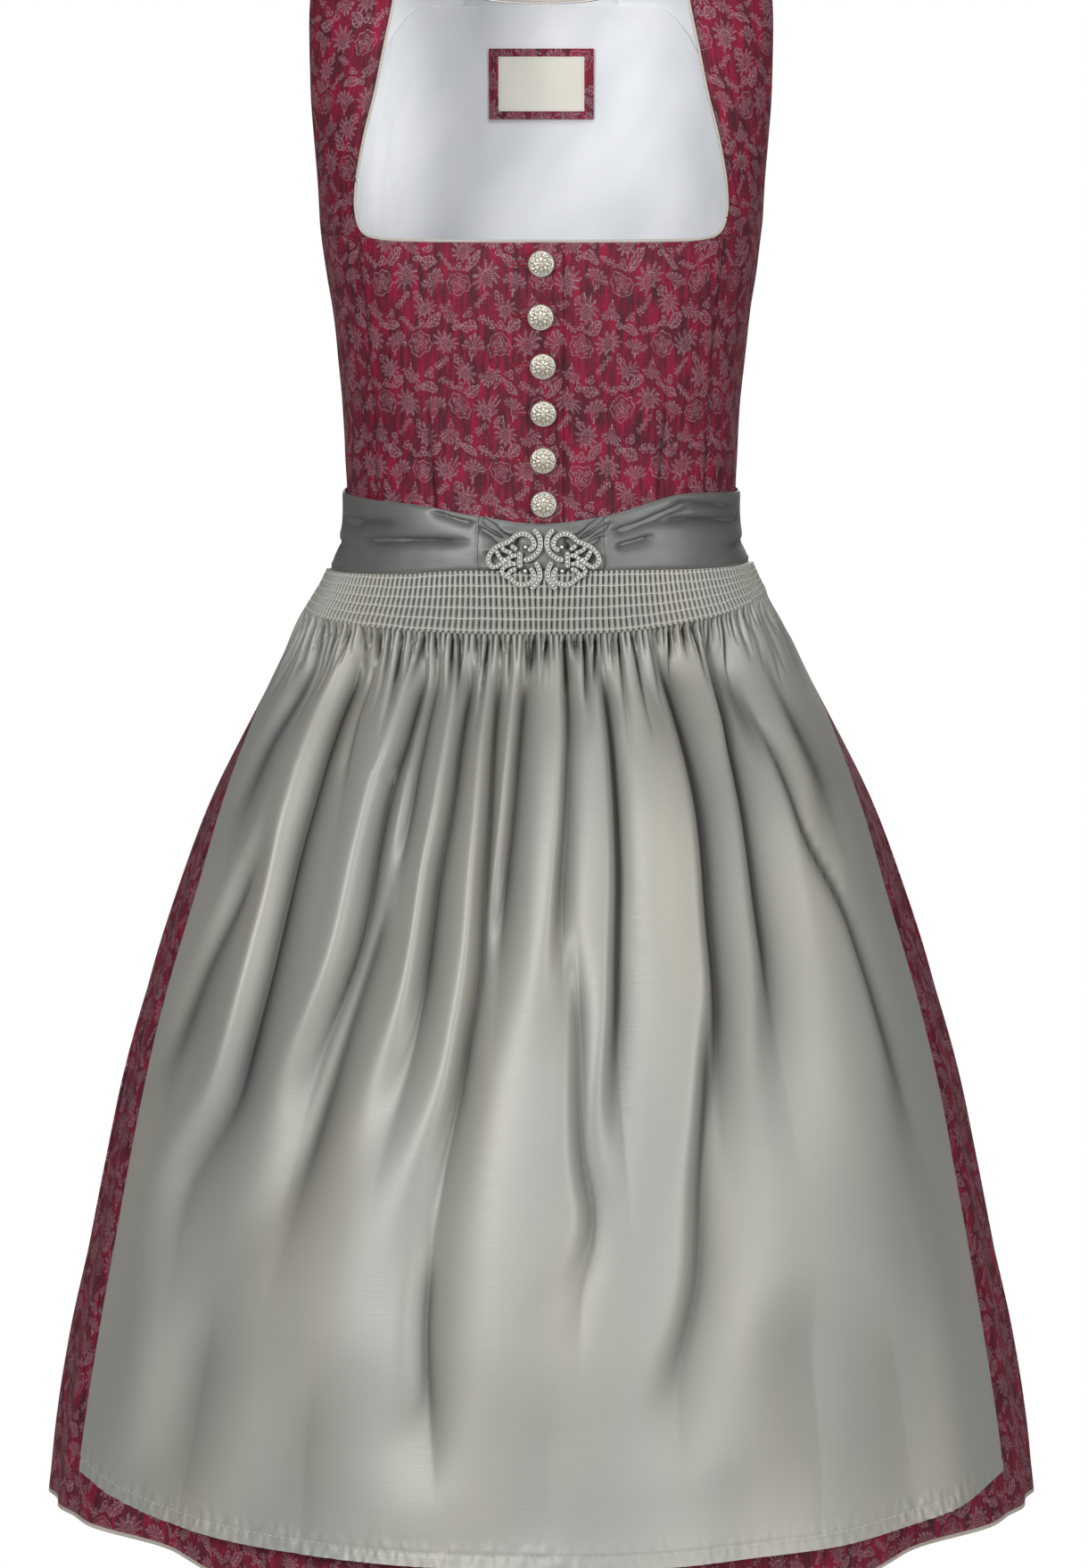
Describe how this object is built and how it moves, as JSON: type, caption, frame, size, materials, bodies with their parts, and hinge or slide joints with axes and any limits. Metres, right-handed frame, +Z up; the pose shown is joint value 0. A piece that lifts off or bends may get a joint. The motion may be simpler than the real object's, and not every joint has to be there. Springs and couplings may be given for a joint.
{
  "type": "dirndl",
  "caption": "Sleeveless midi dirndl with a scooped neck, buttoned bodice, satin belt with a scroll clasp, full jacquard skirt and a smocked apron, filled out as worn and hollow.",
  "frame": {"origin": "middle between the two straps, level with their undersides at the shoulder seams, where shoulders or a hanger hold the dress", "axes": "+Z up along the dress, -Y towards the buttoned front, +X towards the wearer's left"},
  "size_m": [0.6662, 0.5484, 1.0697],
  "materials": {
    "jacquard": "burgundy jacquard with a low sheen",
    "lining": "pale grey-white cotton, matt",
    "piping": "cream cord and tape, matt",
    "card": "cream woven patch, matt",
    "satin": "dark grey satin",
    "taffeta": "pale grey-green taffeta with a satin sheen",
    "button_metal": "silver filigree, worn",
    "clasp_metal": "bright silver cast scrolls"
  },
  "bodies": {
    "root": {"bodice_front_left": "jacquard", "bodice_front_right": "jacquard", "bodice_side_front_left": "jacquard", "bodice_side_front_right": "jacquard", "bodice_side_back_left": "jacquard", "bodice_side_back_right": "jacquard", "bodice_back": "jacquard", "skirt_front": "jacquard", "skirt_back": "jacquard", "label_mount": "jacquard", "lining_back": "lining", "neck_piping": "piping", "hem_tape_front": "piping", "hem_tape_back": "piping", "label_card": "card", "belt_centre": "satin", "belt_left": "satin", "belt_right": "satin", "apron_yoke": "taffeta", "apron_skirt": "taffeta", "button_1": "button_metal", "button_2": "button_metal", "button_3": "button_metal", "button_4": "button_metal", "button_5": "button_metal", "button_6": "button_metal", "clasp_left": "clasp_metal", "clasp_right": "clasp_metal"}
  },
  "joints": []
}
